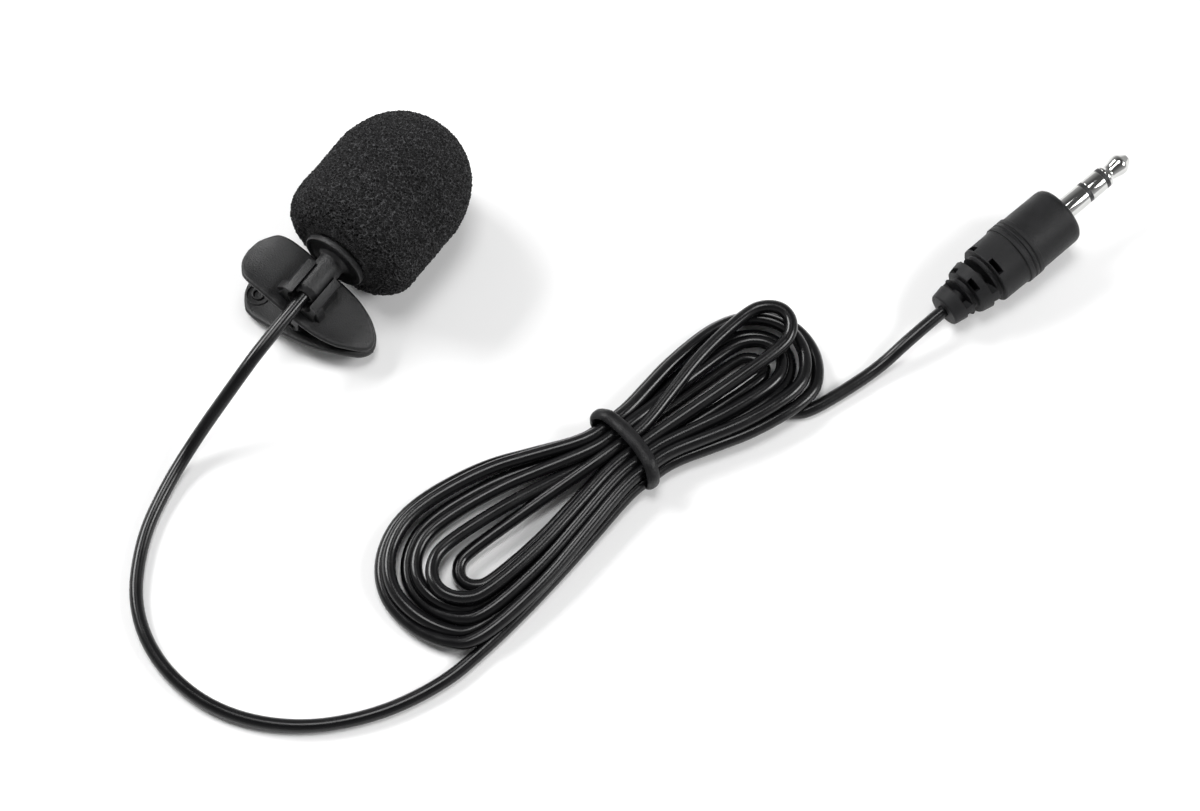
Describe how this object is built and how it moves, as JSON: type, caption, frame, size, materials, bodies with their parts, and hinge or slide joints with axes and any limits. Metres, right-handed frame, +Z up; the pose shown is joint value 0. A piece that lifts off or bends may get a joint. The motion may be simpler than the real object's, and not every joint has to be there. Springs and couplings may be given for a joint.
{
  "type": "lavalier microphone",
  "caption": "Clip-on lavalier microphone: foam windscreen over an electret capsule head, sprung clip, thin cord tied in a hank, and a 3.5 mm three-pole plug.",
  "frame": {"origin": "bottom centre of the box around the microphone and its clip, on the surface that it lies on", "axes": "+Y along the microphone's axis towards the foam's tip, +X towards the clip's bite, +Z up"},
  "size_m": [0.1011, 0.1509, 0.0225],
  "materials": {
    "foam": "open-cell foam, matt",
    "head_plastic": "satin black",
    "grille_metal": "fine satin",
    "felt": "felt",
    "capsule_metal": "drawn, satin",
    "rubber_inner": "matt",
    "brass": "plain",
    "film": "clear to white film",
    "insulator": "black",
    "circuit_board": "solder mask",
    "solder": "bright solder",
    "cord_jacket": "semi-gloss flexible jacket",
    "wire_red": "wire insulation",
    "wire_white": "wire insulation",
    "clip_plastic": "satin black with a fine mould texture",
    "spring_steel": "spring steel wire",
    "plug_metal": "bright nickel plate",
    "inner_mould": "natural plastic",
    "grip_rubber": "satin black with a fine grain",
    "tie_rubber": "satin black"
  },
  "bodies": {
    "root": {"head_housing": "head_plastic", "front_grille": "grille_metal", "dust_felt": "felt", "capsule_can": "capsule_metal", "capsule_sleeve": "rubber_inner", "diaphragm_ring": "brass", "diaphragm": "film", "spacer_ring": "film", "back_electrode": "brass", "electrode_holder": "insulator", "gate_contact": "brass", "jfet": "insulator", "capsule_pcb": "circuit_board", "solder_joints": "solder", "cable_ferrule": "brass", "cord_head_end": "cord_jacket", "signal_lead": "wire_red", "screen_lead": "wire_white", "plug_tip": "plug_metal", "tip_insulator": "insulator", "plug_ring": "plug_metal", "ring_insulator": "insulator", "plug_sleeve": "plug_metal", "plug_inner_mould": "inner_mould", "plug_overmould": "grip_rubber", "cord_plug_end": "cord_jacket", "tip_conductor": "wire_red", "ring_conductor": "wire_white", "sleeve_conductor": "brass", "cord_lead": "cord_jacket", "cord_tail": "cord_jacket", "cord_hank": "cord_jacket", "cord_tie": "tie_rubber"},
    "windscreen": {"foam_windscreen": "foam"},
    "upper_jaw": {"upper_jaw": "clip_plastic", "hinge_pin": "spring_steel", "clip_spring": "spring_steel"},
    "lower_jaw": {"lower_jaw": "clip_plastic"}
  },
  "joints": [
    {"name": "windscreen_slide", "type": "slide", "parent": "root", "child": "windscreen", "axis": [0, 1, 0], "range_m": [0, 0.015]},
    {"name": "clip_swivel", "type": "hinge", "parent": "root", "child": "upper_jaw", "pos_m": [0.0007, -0.01362, 0.0112], "axis": [0, 1, 0], "continuous": true},
    {"name": "jaw_hinge", "type": "hinge", "parent": "upper_jaw", "child": "lower_jaw", "pos_m": [-0.0002, -0.01362, 0.00525], "axis": [0, 1, 0], "range_deg": [0, 30], "stiffness_Nm_per_rad": 0.03, "deforming": ["clip_spring"]}
  ]
}
